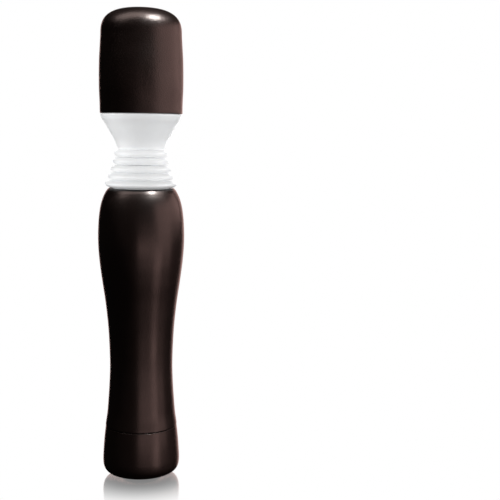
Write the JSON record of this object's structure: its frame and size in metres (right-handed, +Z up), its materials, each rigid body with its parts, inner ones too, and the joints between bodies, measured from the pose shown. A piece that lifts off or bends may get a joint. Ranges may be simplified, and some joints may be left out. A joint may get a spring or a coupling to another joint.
{
  "type": "wand massager",
  "caption": "Battery wand massager: long waisted grip, bending bellows neck, domed head with a weighted motor, and a turning speed base that unscrews.",
  "frame": {"origin": "middle of the underside of the foot, on the common axis", "axes": "+Z runs up the straight wand from foot to head; the front is -Y, with +X to its right"},
  "size_m": [0.0384, 0.0384, 0.2097],
  "materials": {
    "head_soft_touch": "fine-grained soft-touch coat on moulded plastic",
    "grip_skin": "smooth satin soft skin",
    "dial_satin": "smooth satin",
    "neck_silicone": "translucent white, soft sheen",
    "foot_rubber": "matt",
    "seal_rubber": "matt",
    "plastic_dark": "fine spark texture",
    "plastic_natural": "uncoloured moulding",
    "steel": "bright",
    "magnet": "sintered, dull",
    "brass": "bright, pressed",
    "copper": "lacquered",
    "circuit_board": "solder resist",
    "cell_jacket": "plain printed sleeve without marks",
    "lead_jacket": "soft jacket"
  },
  "bodies": {
    "root": {"cap_collar": "plastic_dark", "speed_board": "circuit_board", "board_spacer": "plastic_natural", "contact_plate": "brass", "battery_spring": "steel", "earth_ring": "brass", "dial_screw": "steel", "battery_lower": "cell_jacket", "battery_upper": "cell_jacket"},
    "speed_dial": {"dial_shell": "dial_satin", "foot_pad": "foot_rubber", "dial_wiper": "brass"},
    "seal": {"seal_ring": "seal_rubber"},
    "handle": {"grip_skin": "grip_skin", "grip_frame_front": "plastic_dark", "grip_frame_back": "plastic_dark", "grip_screw_left": "steel", "grip_screw_right": "steel", "thread_nipple": "plastic_dark", "battery_tube": "plastic_natural", "positive_contact": "brass", "return_strip": "brass", "lead_carrier": "plastic_natural", "neck_socket": "plastic_dark", "neck_lower_folds": "neck_silicone", "neck_spring_lower": "steel", "motor_lead_lower": "lead_jacket"},
    "neck_middle": {"neck_middle_fold": "neck_silicone"},
    "head": {"neck_upper_sleeve": "neck_silicone", "neck_spring_upper": "steel", "motor_lead_upper": "lead_jacket", "head_base": "plastic_dark", "head_screw_1": "steel", "head_screw_2": "steel", "head_screw_3": "steel", "head_screw_4": "steel", "head_cover": "head_soft_touch", "motor_housing_left": "plastic_dark", "motor_housing_right": "plastic_dark", "motor_can": "steel", "motor_end_cap": "plastic_natural", "motor_bush": "brass", "motor_magnet_left": "magnet", "motor_magnet_right": "magnet", "motor_brush_left": "copper", "motor_brush_right": "copper", "motor_terminal_left": "brass", "motor_terminal_right": "brass"},
    "rotor": {"motor_shaft": "steel", "motor_armature": "copper", "motor_commutator": "copper", "eccentric_weight": "steel"}
  },
  "joints": [
    {"name": "dial_turn", "type": "hinge", "parent": "root", "child": "speed_dial", "pos_m": [0, 0, 0.012], "axis": [0, 0, 1], "range_deg": [0, 270]},
    {"name": "seal_lift", "type": "slide", "parent": "root", "child": "seal", "axis": [0, 0, 1], "range_m": [0, 0.0088], "stiffness_N_per_m": 60, "springref_m": 0.027},
    {"name": "handle_unscrew", "type": "hinge", "parent": "seal", "child": "handle", "pos_m": [0, 0, 0.022], "axis": [0, 0, 1], "range_deg": [0, 1260]},
    {"name": "neck_bend_side", "type": "hinge", "parent": "handle", "child": "neck_middle", "pos_m": [0, 0, 0.1363], "axis": [0, 1, 0], "range_deg": [-15, 15], "stiffness_Nm_per_rad": 0.35, "deforming": ["neck_lower_folds", "neck_spring_lower", "motor_lead_lower"]},
    {"name": "neck_bend_front", "type": "hinge", "parent": "neck_middle", "child": "head", "pos_m": [0, 0, 0.148], "axis": [1, 0, 0], "range_deg": [-20, 20], "stiffness_Nm_per_rad": 0.35, "deforming": ["neck_upper_sleeve", "neck_spring_upper", "motor_lead_upper"]},
    {"name": "motor_spin", "type": "hinge", "parent": "head", "child": "rotor", "pos_m": [0, 0, 0.18], "axis": [0, 0, 1], "continuous": true}
  ],
  "couplings": [
    {"joint": "seal_lift", "follows": "handle_unscrew", "m_per_rad": 0.00039789}
  ]
}
